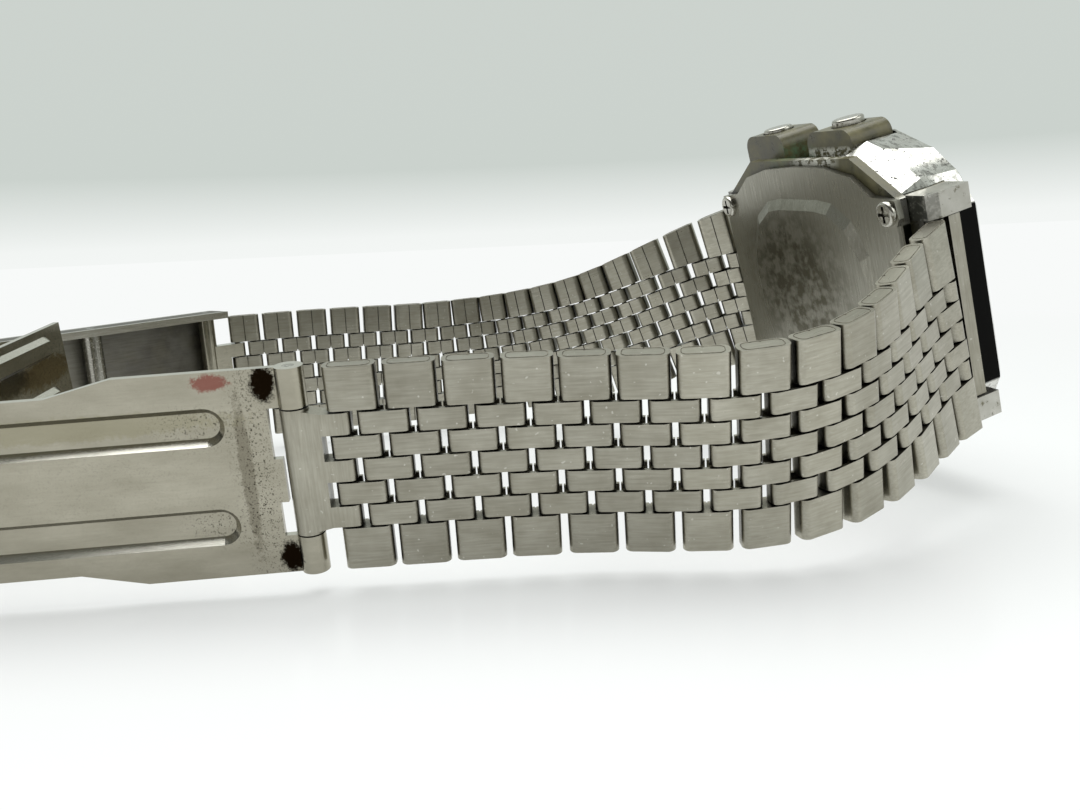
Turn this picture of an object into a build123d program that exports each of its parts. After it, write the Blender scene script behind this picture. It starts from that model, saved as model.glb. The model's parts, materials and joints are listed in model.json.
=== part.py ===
"""Digital watch on a steel link bracelet, standing on its side with the clasp open.

The case, the two halves of the bracelet and the clasp are laid as they stand on a table:
+Z is up and runs across the band, and the screen looks away to the right.
Lengths are in millimetres and angles in degrees.
"""
import os
from math import radians, tan

from build123d import (
    Align, Box, Circle, Compound, Cylinder, Helix, Location, Plane, Polygon, Pos,
    Rectangle, RectangleRounded, Rot, SlotOverall, Torus, Wire, export_step, extrude, loft,
    mirror, sweep,
)

# Bracelet links: five narrow columns of rolled tube between two outer bars
column_pitch = 1.8
column_gap = 0.16
link_pitch = 4.2
link_gap = 0.44
link_thickness = 1.7
link_corner = 0.6
link_sheet = 0.3
seam_width = 0.12
link_pin_radius = 0.3
pin_seat = 1.2
outer_bar_width = 3.35
case_flare = 1.75
flare_pitches = 6
cut_overrun = 0.5
along_share = 0.9

# How the bracelet lies, read pitch by pitch from the case outwards
near_bends = (-68, 9, 1.5, -5.5, -9.5, -14.5, -17.5, -12, -2.5, 4, 4.5, 2.5, 0.5, -1)
near_twists = (2, -0.5, -1.5, -3, -2.5, -2, -1.5, -0.5, 0.5, 1, 1.5, 1, 1, 0.5)
near_skews = (1, 0, -1, -1.5, -1.5, -1.5, -1, -0.5, -0.5, -0.5, -1, 0, 0, 0.5)
far_bends = (46, 12, -7, -8, -2, 2, 2.5, 3, 8, 16, 15, 5, -0.5, -1.5, -0.5, 0.5, 0.5)
far_twists = (-2.5, 2.5, 2.5, 3, 2, 0, 0, 1, 1, -0.5, -1.5, -0.5, 0.5, 0, 0.5, 0, 0)
far_skews = (2.5, 3, 2.5, 0.5, -1.5, -3, -2.5, -2.5, -2.5, -3, -2.5, -2.5, -0.5, 0.5, 0.5, 1, 0)

# Case: where it stands, then its own frame with x between the lugs, y towards the
# buttons and z out of the screen, measured from the middle of the two spring bars
case_place = (33.03, 101.77, 16.32)
case_turn = (-45.16, 68.17, 141.17)
case_half_length = 14.4
case_half_width = 14.25
case_corner_x = 8.6
case_corner_y = 10.55
case_back_z = -1.8
case_step_z = -0.9
case_roof_z = 5.0
shell_wall = 0.9
cavity_half_length = 12.2
cavity_half_width = 12.65
cavity_corner_x = 8.0
cavity_corner_y = 9.65
cavity_top_z = 4.2
window_length = 19.0
window_width = 14.0
window_corner = 1.0

# Lugs and what is pinned between them
spring_bar_x = 16.25
spring_bar_radius = 0.32
spring_bar_seat = 1.0
spring_bar_play = 0.04
band_offset_y = -0.95
lug_inner_y = 8.45
lug_width = 2.2
lug_tip_x = 17.0
lug_heel_x = 16.6
lug_root = 0.5
lug_back_z = -0.8
lug_tip_back_z = 0.3
lug_front_z = 3.4
end_strip_back_z = 1.15
end_strip_front_z = 2.3
end_strip_length = 1.3
end_knuckle_radius = 0.8
end_slot_play = 0.12

# Chrome shell: half outlines of its back edge, its crease and its front edge
shell_back_corners = ((14.5, 9.45), (13.6, 10.75), (8.8, 13.85), (6.6, 14.35))
shell_crease_corners = ((15.1, 9.45), (13.4, 11.45), (9.0, 14.15), (6.6, 15.05))
shell_front_corners = ((15.2, 8.25), (13.5, 11.15), (11.0, 13.15), (6.2, 15.05))
shell_top_corners = ((14.4, 7.65), (12.8, 10.65), (10.4, 12.45), (5.6, 14.25))
shell_back_z = -0.9
shell_crease_z = 1.6
shell_front_z = 5.3
shell_top_z = 6.1
shell_fit = 0.05
shell_notch_start_x = -6.9
shell_notch_end_x = 15.7
shell_far_notch_x = 4.7
shell_far_notch_y = 10.35
shell_notch_top_z = 5.0
shell_end_notch_z = 3.6

# Button guards, and the buttons in them
guard_top_y = 16.4
guard_back_z = 0.3
guard_front_z = 4.8
guard_corner = 1.4
guard_length = 7.2
guard_base_y = 10.45
guard_xs = (-2.9, 8.7)
button_zs = (2.8, 2.3)
button_seat_ys = (12.65, 11.25)
button_cap_top_ys = (17.05, 16.8)
button_cap_radius = 1.5
button_cap_base_y = 15.65
button_cap_edge = 0.25
button_stem_radius = 0.55
button_stem_reach = 0.7
button_travel = 0.7
button_recess_gap = 0.25
button_play = 0.08
button_well_play = 0.15
button_well_y = 14.35
button_clip_radius = 1.1
button_clip_thickness = 0.3
button_seal_y = 13.55
button_seal_radius = 0.28
button_spring_wire = 0.11
button_spring_radius = 0.92
button_spring_turns = 3
small_gap = 0.03

# Display side, from the crystal inwards
crystal_length = 23.0
crystal_width = 18.0
crystal_corner = 2.0
crystal_thickness = 1.0
gasket_width = 0.5
gasket_thickness = 0.3
mask_thickness = 0.2
mask_length = 22.4
mask_width = 18.4
lcd_length = 20.0
lcd_width = 15.4
lcd_thickness = 1.1
strip_width = 1.0
frame_length = 23.6
frame_width = 22.8
frame_corner = 3.5
frame_front_z = 3.9
frame_back_z = 0.6
board_thickness = 0.7
board_gap = 0.05
battery_radius = 8.0
battery_thickness = 1.3
battery_rim = 0.35

# Back plate with four screwed ears and a pressed middle
back_thickness = 0.6
back_half_outline = ((14.6, 8.35), (15.0, 9.05), (14.8, 10.65), (11.6, 10.95), (8.9, 12.75), (5.0, 13.55))
back_peak_y = 13.75
panel_half_outline = ((10.7, 2.65), (10.0, 5.45), (8.2, 8.65), (5.6, 10.25), (3.4, 10.55))
panel_rise = 0.5
panel_draft = 1.0
screw_x = 13.7
screw_y = 9.55
screw_head_radius = 1.15
screw_head_height = 0.5
screw_thread_radius = 0.5
screw_thread_length = 2.4
cross_width = 0.3
cross_length = 1.5
cross_depth = 0.3
back_gasket_radius = 0.3
back_gasket_inset = 0.7

# Clasp: end pieces, two folding blades and the cover
end_piece_reach = 3.2
end_piece_slot_depth = 1.35
end_plate_half_width = 4.87
roll_radius = 1.05
hinge_pin_radius = 0.45
hinge_play = 0.04
clasp_half_width = 8.0
knuckle_side_gap = 0.12
blade_sheet = 0.6
blade_length = 37.0
blade_waist_half_width = 6.9
blade_waist_start = 12.4
blade_waist_end = 17.2
blade_start = 1.9
blade_tongue_start = 1.25
blade_tongue_shift = 0.6
blade_tongue_half_width = 1.7
groove_offset = 3.9
groove_width = 2.9
groove_start = 5.0
groove_depth = 0.6
groove_wall_angle = 38
middle_length = 38.0
middle_half_width = 4.6
middle_end_gap = 2.4
middle_groove_offset = 2.7
middle_groove_width = 2.0
far_piece_reach = 3.8
far_roll_radius = 0.95
cover_lead = 1.9
cover_length = 30.0
cover_sheet = 0.7
cover_rim_height = 3.4
cover_rim_lip = 0.8
cover_half_width = 8.7
cover_floor_gap = 0.35
cover_bar_x = 14.7
cover_bar_radius = 0.45
cover_bar_tube_radius = 1.05
cover_side_gap = 0.15
blade_bend = 2.5
middle_bend = -99
far_piece_bend = 25
cover_bend = 8

column_width = column_pitch - column_gap
link_length = link_pitch - link_gap
columns_half_width = 2.5 * column_pitch
a_columns = (-column_pitch, column_pitch)
b_columns = (-2 * column_pitch, 0, 2 * column_pitch)


def pin(radius, half_length):
    """A round pin along z, centred on its frame."""
    return Cylinder(radius, 2 * half_length)


def slab(x_low, x_high, y_low, y_high, z_low, z_high):
    """A box between the given limits."""
    size = (x_high - x_low, y_high - y_low, z_high - z_low)
    return Pos(x_low, y_low, z_low) * Box(*size, align=(Align.MIN, Align.MIN, Align.MIN))


def mirrored_outline(half):
    """A closed outline from the points of its first quarter, given from the x axis to the y axis."""
    right_top = list(half)
    left_top = [(-x, y) for x, y in reversed(right_top)]
    bottom = [(-x, -y) for x, y in right_top + left_top]
    points = []
    for point in right_top + left_top + bottom:
        if point not in points:
            points.append(point)
    return Polygon(*points, align=None)


def runs_along_z(edge):
    return abs(edge.tangent_at(0).Z) > along_share


def octagon(half_length, half_width, corner_x, corner_y):
    return mirrored_outline(((half_length, corner_y), (corner_x, half_width)))


# Bracelet

def tube_section():
    """A flat rolled tube seen along z, its seam on the wrist side at -y."""
    outer = RectangleRounded(link_length, link_thickness, link_corner)
    hollow_corner = link_corner - link_sheet
    hollow = RectangleRounded(
        link_length - 2 * link_sheet, link_thickness - 2 * link_sheet, hollow_corner)
    seam = Pos(0, -link_thickness / 2) * Rectangle(seam_width, 3 * link_sheet)
    return outer - hollow - seam


def narrow_tube():
    return extrude(tube_section(), amount=column_width / 2, both=True)


def bar_section():
    """A solid outer bar seen along z, with a shallow seam line on the wrist side."""
    outer = RectangleRounded(link_length, link_thickness, link_corner)
    return outer - Pos(0, -link_thickness / 2) * Rectangle(seam_width, link_sheet)


def outer_bar(case_reach, clasp_reach):
    """The outer bar above the columns, its free edge running from one reach to the other."""
    inner = columns_half_width + column_gap / 2
    longest = max(case_reach, clasp_reach)
    bar = Pos(0, 0, inner) * extrude(bar_section(), amount=longest - inner)
    end = link_length / 2 + cut_overrun
    plan = Polygon(
        (-end, 0), (end, 0), (end, clasp_reach), (-end, case_reach), align=None)
    return bar & extrude(Plane.XZ * plan, amount=link_thickness, both=True)


def band_reach(pitches_from_case):
    """Half the band's width, which grows towards the case."""
    share = max(0, 1 - pitches_from_case / flare_pitches)
    return columns_half_width + outer_bar_width + case_flare * share ** 2


def band_pin():
    return pin(link_pin_radius, columns_half_width + column_gap / 2 + pin_seat)


def on_wrist_side(shape, wrist_side):
    """Turns a piece drawn with its wrist side at -y so that this side is at +y."""
    return shape if wrist_side < 0 else Rot(180, 0, 0) * shape


def half_turn(twist, skew, bend):
    return Location((0, 0, 0), (twist / 2, skew / 2, bend / 2))


def chain_frames(start, bends, twists, skews):
    """The pin frame, inner row frame and outer row frame of each pitch, and the last pin's frame."""
    frame = start
    rows = []
    for bend, twist, skew in zip(bends, twists, skews):
        inner_row = frame * half_turn(twist, skew, bend)
        outer_row = inner_row * Pos(link_pitch / 2, 0, 0) * half_turn(twist, skew, bend)
        rows.append((frame, inner_row, outer_row))
        frame = outer_row * Pos(link_pitch / 2, 0, 0)
    return rows, frame


def link_pitch_solids(index, inner_row, outer_row, wrist_side):
    """One pitch: three tubes next to the case, then two tubes between two bars on two pins."""
    tube = on_wrist_side(narrow_tube(), wrist_side)
    middle = link_pitch / 4
    solids = [inner_row * Pos(middle, 0, z) * tube for z in b_columns]
    solids += [outer_row * Pos(middle, 0, z) * tube for z in a_columns]
    pins = [Pos(x, 0, 0) * band_pin() for x in (0, 2 * middle)]
    bar = Pos(middle, 0, 0) * outer_bar(band_reach(index), band_reach(index + 1))
    bar = bar - pins[0] - pins[1]
    for piece in (bar, mirror(bar, about=Plane.XY)):
        if wrist_side > 0:
            piece = mirror(piece, about=Plane.XZ)
        solids.append(outer_row * piece)
    return solids + [outer_row * piece for piece in pins]


# Case

def spring_bars():
    length = lug_inner_y + spring_bar_seat
    bar = Rot(90, 0, 0) * pin(spring_bar_radius, length)
    return [Pos(x, 0, 0) * bar for x in (-spring_bar_x, spring_bar_x)]


def lug(side_x, side_y):
    """One lug, drawn at +x and +y and mirrored into its corner."""
    root = case_half_length - lug_root
    profile = Polygon(
        (root, lug_back_z), (lug_heel_x, lug_back_z), (lug_tip_x, lug_tip_back_z),
        (lug_tip_x, lug_front_z), (root, lug_front_z), align=None)
    solid = Pos(0, lug_inner_y + lug_width, 0) * extrude(Plane.XZ * profile, amount=lug_width)
    hole = Rot(90, 0, 0) * pin(
        spring_bar_radius + spring_bar_play, lug_inner_y + spring_bar_seat + spring_bar_play)
    solid = solid - Pos(spring_bar_x, 0, 0) * hole
    if side_x < 0:
        solid = mirror(solid, about=Plane.YZ)
    if side_y < 0:
        solid = mirror(solid, about=Plane.XZ)
    return solid


def button_guard(x):
    """The rounded block that stands out of the case around one button."""
    depth = guard_front_z - guard_back_z
    block = slab(x - guard_length / 2, x + guard_length / 2, guard_base_y, guard_top_y,
                 guard_front_z - depth, guard_front_z)
    top_edges = block.faces().sort_by(lambda face: face.center().Y)[-1].edges()
    return block.fillet(guard_corner, top_edges.filter_by(runs_along_z))


def button_places():
    """Each button's place along its side and in depth, its seat's depth and its cap's height."""
    return list(zip(guard_xs, button_zs, button_seat_ys, button_cap_top_ys))


def along_button(x, y, z, shape):
    """Puts a piece drawn along +z onto a button's line, pointing outwards."""
    return Pos(x, y, z) * Rot(-90, 0, 0) * shape


def button_bores(x, z, seat_y):
    """What is cut for one button: cap well, stem bore, seal groove and the clip's flat seat."""
    well_radius = button_cap_radius + button_well_play
    well = along_button(x, button_well_y, z, Cylinder(
        well_radius, guard_top_y, align=(Align.CENTER, Align.CENTER, Align.MIN)))
    bore = along_button(x, seat_y - cut_overrun, z, Cylinder(
        button_stem_radius + button_play, case_half_width, align=(Align.CENTER, Align.CENTER, Align.MIN)))
    groove_radius = button_stem_radius + 2 * button_seal_radius + button_play
    groove = along_button(
        x, button_seal_y, z, Cylinder(groove_radius, 2 * button_seal_radius + button_play))
    seat = along_button(x, seat_y, z, Cylinder(
        button_clip_radius + button_play, case_half_width - cavity_corner_y,
        align=(Align.CENTER, Align.CENTER, Align.MAX)))
    return [well, bore, groove, seat]


def case_body():
    """The cast middle of the case with its guards and lugs, open at the back for the module."""
    base = octagon(case_half_length, case_half_width, case_corner_x, case_corner_y)
    inner = octagon(case_half_length - shell_wall, case_half_width - shell_wall,
                    case_corner_x - shell_wall / 2, case_corner_y - shell_wall / 2)
    body = Pos(0, 0, case_back_z) * extrude(base, amount=case_step_z - case_back_z)
    body += Pos(0, 0, case_back_z) * extrude(inner, amount=case_roof_z - case_back_z)
    for x in guard_xs:
        body += button_guard(x)
    for side_x in (-1, 1):
        for side_y in (-1, 1):
            body += lug(side_x, side_y)
    cavity = octagon(cavity_half_length, cavity_half_width, cavity_corner_x, cavity_corner_y)
    body -= Pos(0, 0, case_back_z) * extrude(cavity, amount=cavity_top_z - case_back_z)
    window = RectangleRounded(window_length, window_width, window_corner)
    body -= Pos(0, 0, cavity_top_z - cut_overrun) * extrude(window, amount=case_roof_z)
    for x, z, seat_y, _ in button_places():
        for cut in button_bores(x, z, seat_y):
            body -= cut
    for x, y in screw_places():
        body -= Pos(x, y, case_back_z) * Cylinder(
            screw_thread_radius, screw_thread_length, align=(Align.CENTER, Align.CENTER, Align.MIN))
    return body


def shell_body():
    """The chrome shell round the front of the case, cut away at the buttons and the band slots."""
    levels = (
        (shell_back_z, shell_back_corners), (shell_crease_z, shell_crease_corners),
        (shell_front_z, shell_front_corners), (shell_top_z, shell_top_corners))
    sections = [Pos(0, 0, z) * mirrored_outline(corners) for z, corners in levels]
    shell = sum_of([loft([low, high], ruled=True) for low, high in zip(sections, sections[1:])])
    fit = shell_wall - shell_fit
    inner = octagon(case_half_length - fit, case_half_width - fit,
                    case_corner_x - fit / 2, case_corner_y - fit / 2)
    shell -= Pos(0, 0, case_step_z - cut_overrun) * extrude(
        inner, amount=case_roof_z + shell_fit - case_step_z + cut_overrun)
    seat = RectangleRounded(
        crystal_length + 2 * gasket_width, crystal_width + 2 * gasket_width,
        crystal_corner + gasket_width)
    shell -= Pos(0, 0, case_roof_z - cut_overrun) * extrude(seat, amount=case_roof_z)
    side = case_half_width + case_half_width
    shell -= slab(shell_notch_start_x, shell_notch_end_x, cavity_half_width - cut_overrun, side,
                  shell_back_z - cut_overrun, shell_notch_top_z)
    shell -= slab(shell_far_notch_x, shell_notch_end_x, shell_far_notch_y, side,
                  shell_back_z - cut_overrun, shell_notch_top_z)
    for low, high in ((-side, -cavity_half_length), (cavity_half_length, side)):
        slot = lug_inner_y + lug_width + shell_fit
        shell -= slab(low, high, -slot, slot, shell_back_z - cut_overrun, shell_end_notch_z)
    return shell


def sum_of(solids):
    total = solids[0]
    for solid in solids[1:]:
        total = total + solid
    return total


def end_links():
    """The comb at each end: a flat strip in front, and knuckles on the spring bar beside the tubes."""
    reach = lug_inner_y - end_slot_play
    strip = slab(spring_bar_x - end_knuckle_radius, spring_bar_x - end_knuckle_radius + end_strip_length,
                 -reach, reach, end_strip_back_z, end_strip_front_z)
    comb = strip
    half = column_width / 2
    spans = [(y - half, y + half) for y in (band_offset_y + z for z in a_columns)]
    inner = columns_half_width + column_gap / 2
    spans += [(-reach, band_offset_y - inner), (band_offset_y + inner, reach)]
    for low, high in spans:
        knuckle = Rot(-90, 0, 0) * Cylinder(
            end_knuckle_radius, high - low, align=(Align.CENTER, Align.CENTER, Align.MIN))
        comb += Pos(spring_bar_x, low, 0) * knuckle
        comb += slab(spring_bar_x - end_knuckle_radius, spring_bar_x, low, high, 0,
                     end_strip_back_z + cut_overrun)
    comb -= Pos(spring_bar_x, 0, 0) * Rot(90, 0, 0) * pin(spring_bar_radius + spring_bar_play, reach)
    return [comb, mirror(comb, about=Plane.YZ)]


def screw_places():
    return [(x, y) for x in (-screw_x, screw_x) for y in (-screw_y, screw_y)]


def back_outline():
    return mirrored_outline(back_half_outline + ((0, back_peak_y),))


def back_plate():
    """The steel back: thin plate with ears, its middle pressed outwards."""
    front = case_back_z - small_gap
    plate = Pos(0, 0, front - back_thickness) * extrude(back_outline(), amount=back_thickness)
    wide = mirrored_outline(panel_half_outline)
    shrink = 1 - panel_draft / panel_half_outline[0][0]
    narrow = mirrored_outline([(x * shrink, y * shrink) for x, y in panel_half_outline])
    base_z = front - back_thickness
    plate += loft([Pos(0, 0, base_z) * wide, Pos(0, 0, base_z - panel_rise) * narrow], ruled=True)
    for x, y in screw_places():
        plate -= Pos(x, y, front) * Cylinder(screw_thread_radius + button_play, 3 * back_thickness)
    return plate


def back_screws():
    """Pan head screws with a cross recess, one in each ear."""
    seat_z = case_back_z - small_gap - back_thickness
    head = Pos(0, 0, seat_z - screw_head_height) * Cylinder(
        screw_head_radius, screw_head_height, align=(Align.CENTER, Align.CENTER, Align.MIN))
    rim = head.faces().sort_by(lambda face: face.center().Z)[0].edges()
    head = head.fillet(screw_head_height / 2, rim)
    for turn in (0, 90):
        blade = Rot(0, 0, turn) * Box(cross_length, cross_width, 2 * cross_depth)
        head -= Pos(0, 0, seat_z - screw_head_height) * blade
    thread_top = case_back_z + screw_thread_length - small_gap
    head += Pos(0, 0, seat_z) * Cylinder(
        screw_thread_radius, thread_top - seat_z, align=(Align.CENTER, Align.CENTER, Align.MIN))
    return [Pos(x, y, 0) * head for x, y in screw_places()]


def ring_plate(outer, inner, z, thickness):
    return Pos(0, 0, z) * extrude(outer - inner, amount=thickness)


def back_gasket():
    """Flat seal between the case's rim and the back, lying in the cavity's mouth."""
    outer = octagon(cavity_half_length - small_gap, cavity_half_width - small_gap,
                    cavity_corner_x, cavity_corner_y)
    inner = octagon(cavity_half_length - back_gasket_inset, cavity_half_width - back_gasket_inset,
                    cavity_corner_x, cavity_corner_y - back_gasket_inset / 2)
    return ring_plate(outer, inner, case_back_z, 2 * back_gasket_radius)


def crystal():
    plate = RectangleRounded(crystal_length, crystal_width, crystal_corner)
    return Pos(0, 0, case_roof_z + gasket_thickness) * extrude(plate, amount=crystal_thickness)


def crystal_gasket():
    outer = RectangleRounded(
        crystal_length + gasket_width, crystal_width + gasket_width, crystal_corner)
    inner = RectangleRounded(window_length, window_width, window_corner)
    return ring_plate(outer, inner, case_roof_z, gasket_thickness)


def display_mask():
    """Thin printed plate that frames the display, just under the case's window."""
    outer = RectangleRounded(mask_length, mask_width, window_corner)
    inner = RectangleRounded(lcd_length - 2 * strip_width, lcd_width - 2 * strip_width, window_corner)
    return ring_plate(outer, inner, cavity_top_z - mask_thickness - small_gap, mask_thickness)


def lcd_back_z():
    return frame_front_z - lcd_thickness


def lcd_panel():
    panel = Rectangle(lcd_length, lcd_width)
    return Pos(0, 0, lcd_back_z()) * extrude(panel, amount=lcd_thickness)


def contact_strips():
    """Two rubber strips that join the board to the display."""
    top_z = lcd_back_z() - small_gap
    strip = slab(-lcd_length / 2 + strip_width, lcd_length / 2 - strip_width, -strip_width / 2,
                 strip_width / 2, frame_back_z, top_z)
    shift = lcd_width / 2 - strip_width
    return [Pos(0, y, 0) * strip for y in (-shift, shift)]


def button_recess(x, z, seat_y):
    """Room in the module frame for a button's clip and stem when it is pressed right in."""
    radius = button_clip_radius + button_recess_gap
    inner_y = seat_y - button_stem_reach - button_travel - button_recess_gap - small_gap
    return slab(x - radius, x + radius, inner_y, case_half_width, z - radius, frame_front_z + cut_overrun)


def module_frame():
    """Plastic frame that carries the display, open for the strips and the battery."""
    outline = RectangleRounded(frame_length, frame_width, frame_corner)
    frame = Pos(0, 0, frame_back_z) * extrude(outline, amount=frame_front_z - frame_back_z)
    pocket = Rectangle(lcd_length + 2 * button_play, lcd_width + 2 * button_play)
    frame -= Pos(0, 0, lcd_back_z() - small_gap) * extrude(pocket, amount=frame_front_z)
    slot = Rectangle(lcd_length, strip_width + 2 * button_play)
    shift = lcd_width / 2 - strip_width
    for y in (-shift, shift):
        frame -= Pos(0, y, frame_back_z - cut_overrun) * extrude(slot, amount=frame_front_z)
    for place in button_places():
        frame -= button_recess(*place[:3])
    return frame


def circuit_board():
    top_z = frame_back_z - board_gap
    outline = RectangleRounded(frame_length, frame_width, frame_corner)
    return Pos(0, 0, top_z - board_thickness) * extrude(outline, amount=board_thickness)


def battery():
    """Flat cell between the board and the back, with its narrower cap towards the board."""
    back_z = case_back_z + small_gap
    cell = Pos(0, 0, back_z) * Cylinder(
        battery_radius, battery_thickness, align=(Align.CENTER, Align.CENTER, Align.MIN))
    cap = Pos(0, 0, back_z) * Cylinder(
        battery_radius - battery_rim, battery_thickness + battery_rim / 2,
        align=(Align.CENTER, Align.CENTER, Align.MIN))
    return cell + cap


def button(x, z, seat_y, top_y):
    cap = Cylinder(button_cap_radius, top_y - button_cap_base_y,
                   align=(Align.CENTER, Align.CENTER, Align.MIN))
    top = cap.faces().sort_by(lambda face: face.center().Z)[-1].edges()
    cap = cap.fillet(button_cap_edge, top)
    stem = Cylinder(button_stem_radius, button_cap_base_y - seat_y + button_stem_reach,
                    align=(Align.CENTER, Align.CENTER, Align.MAX))
    return along_button(x, button_cap_base_y, z, cap + stem)


def button_clip(x, z, seat_y):
    """Snap ring on the stem's end, behind the case wall."""
    ring = Circle(button_clip_radius) - Circle(button_stem_radius)
    shape = extrude(ring, amount=-button_clip_thickness)
    return along_button(x, seat_y - small_gap, z, shape)


def button_spring(x, z):
    """Coil under the cap, round the stem."""
    height = button_cap_base_y - button_well_y - 2 * button_spring_wire - 2 * small_gap
    path = Helix(height / button_spring_turns, height, button_spring_radius)
    profile = Plane(origin=path @ 0, z_dir=path % 0) * Circle(button_spring_wire)
    coil = sweep(profile, path=Wire(path.edges()))
    return along_button(x, button_well_y + button_spring_wire + small_gap, z, coil)


def button_seal(x, z):
    centre_radius = button_stem_radius + button_seal_radius + small_gap
    return along_button(x, button_seal_y, z, Torus(centre_radius, button_seal_radius))


# Clasp

def fingers_plate(reach, roll, plate_half_width, roll_half_width):
    """An end piece: fingers on the band's last pin, then a plate that ends in a roll."""
    length = link_pitch / 4 - link_gap / 2
    slot_depth = end_piece_slot_depth
    half_width = columns_half_width - column_gap / 2
    body = slab(-length, slot_depth, -link_thickness / 2, link_thickness / 2, -half_width, half_width)
    ends = body.faces().sort_by(lambda face: face.center().X)[0].edges()
    body = body.fillet(link_corner, ends.filter_by(runs_along_z))
    plate = Polygon((slot_depth, -half_width), (reach, -plate_half_width), (reach, plate_half_width),
                    (slot_depth, half_width), align=None)
    body += extrude(Plane.XZ * plate, amount=link_thickness / 2, both=True)
    body += Pos(reach, 0, 0) * pin(roll, roll_half_width)
    for z in a_columns:
        half = column_pitch / 2 + column_gap / 2
        body -= slab(-length - cut_overrun, slot_depth, -link_thickness, link_thickness, z - half, z + half)
    return body - pin(link_pin_radius + button_play, columns_half_width)


def near_end_piece():
    """Plate between the band and the grooved blade's hinge."""
    body = fingers_plate(end_piece_reach, roll_radius, end_plate_half_width, end_plate_half_width)
    bore = pin(hinge_pin_radius + hinge_play, clasp_half_width)
    return body - Pos(end_piece_reach, 0, 0) * bore


def far_end_piece():
    """Plate between the band and the spring bar in the cover."""
    roll_half_width = cover_half_width - cover_sheet - cover_side_gap
    body = fingers_plate(
        far_piece_reach, far_roll_radius, columns_half_width - column_gap / 2, roll_half_width)
    bore = pin(spring_bar_radius + spring_bar_play, cover_half_width)
    return body - Pos(far_piece_reach, 0, 0) * bore


def grooved_sheet(outline, start, end, offset, width):
    """Steel sheet with two grooves pressed from +y, their walls leaning, drawn in the x-z plane."""
    half = blade_sheet / 2
    sheet = extrude(Plane.XZ * outline, amount=half, both=True)
    middle = (start + end) / 2
    for z in (-offset, offset):
        ridge = SlotOverall(end - start + 2 * blade_sheet, width + 2 * blade_sheet)
        sheet += Pos(middle, half, z) * extrude(
            Plane.XZ * ridge, amount=blade_sheet + groove_depth, taper=groove_wall_angle)
    wider = 2 * cut_overrun * tan(radians(groove_wall_angle))
    for z in (-offset, offset):
        groove = SlotOverall(end - start + wider, width + wider)
        cut = extrude(Plane.XZ * groove, amount=groove_depth + cut_overrun, taper=groove_wall_angle)
        sheet -= Pos(middle, half + cut_overrun, z) * cut
    return sheet


def knuckle(x, radius, bore, low, high):
    tube = Pos(x, 0, low) * Cylinder(
        radius, high - low, align=(Align.CENTER, Align.CENTER, Align.MIN))
    return tube - Pos(x, 0, low) * pin(bore, high - low)


def grooved_blade():
    """The long blade next to the near half, wider over its first third."""
    wide = clasp_half_width
    waist = blade_waist_half_width
    far_end = blade_length - roll_radius
    outline = Polygon(
        (blade_start, -wide), (blade_waist_start, -wide), (blade_waist_end, -waist), (far_end, -waist),
        (far_end, waist), (blade_waist_end, waist), (blade_waist_start, wide), (blade_start, wide),
        align=None)
    last = blade_length - groove_start
    blade = grooved_sheet(outline, groove_start, last, groove_offset, groove_width)
    bore = hinge_pin_radius
    inner = end_plate_half_width + knuckle_side_gap
    for low, high in ((-wide, -inner), (inner, wide)):
        web = slab(0, blade_start + cut_overrun, -blade_sheet / 2, blade_sheet / 2, low, high)
        blade += knuckle(0, roll_radius, bore, low, high) + (web - pin(bore, wide))
    reach = blade_start + cut_overrun
    tongue = slab(blade_tongue_start, reach, -blade_sheet / 2, blade_sheet / 2,
                  -blade_tongue_half_width - blade_tongue_shift, blade_tongue_half_width - blade_tongue_shift)
    blade += tongue
    share = middle_knuckle_half_width() + knuckle_side_gap
    for low, high in ((-waist, -share), (share, waist)):
        web = slab(far_end - cut_overrun, blade_length, -blade_sheet / 2, blade_sheet / 2, low, high)
        hole = Pos(blade_length, 0, 0) * pin(bore, wide)
        blade += knuckle(blade_length, roll_radius, bore, low, high) + (web - hole)
    return blade - slab(far_end - cut_overrun, blade_length + roll_radius, -roll_radius - groove_depth,
                        roll_radius, -share, share)


def middle_knuckle_half_width():
    return middle_half_width / 2


def blade_pins():
    near = pin(hinge_pin_radius, clasp_half_width)
    return [near, Pos(blade_length, 0, 0) * pin(hinge_pin_radius, blade_waist_half_width)]


def middle_blade():
    """The narrower blade that folds between the grooved blade and the cover."""
    start = roll_radius + cut_overrun
    half = middle_half_width
    corners = ((start, -half), (middle_length, -half), (middle_length, half), (start, half))
    outline = Polygon(*corners, align=None)
    last = middle_length - middle_end_gap
    blade = grooved_sheet(outline, groove_start, last, middle_groove_offset, middle_groove_width)
    share = middle_knuckle_half_width()
    bore = hinge_pin_radius + hinge_play
    web = slab(0, start + cut_overrun, -blade_sheet / 2, blade_sheet / 2, -share, share)
    return blade + knuckle(0, roll_radius, bore, -share, share) + (web - pin(bore, half))


def cover():
    """Folded steel cover: a floor between two rims that turn in at their edges."""
    wide = cover_half_width
    start, end = -cover_lead, cover_length - cover_lead
    floor_y = -far_roll_radius - cover_floor_gap
    body = slab(start, end, floor_y - cover_sheet, floor_y, -wide, wide)
    top = floor_y + cover_rim_height
    for low, high in ((-wide, -wide + cover_sheet), (wide - cover_sheet, wide)):
        body += slab(start, end, floor_y - cover_sheet, top, low, high)
    for low, high in ((-wide, -wide + cover_rim_lip), (wide - cover_rim_lip, wide)):
        body += slab(start, end, top - cover_sheet, top, low, high)
    for x, radius in ((0, spring_bar_radius), (cover_bar_x, cover_bar_radius)):
        body -= Pos(x, 0, 0) * pin(radius, wide)
    return body


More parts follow.
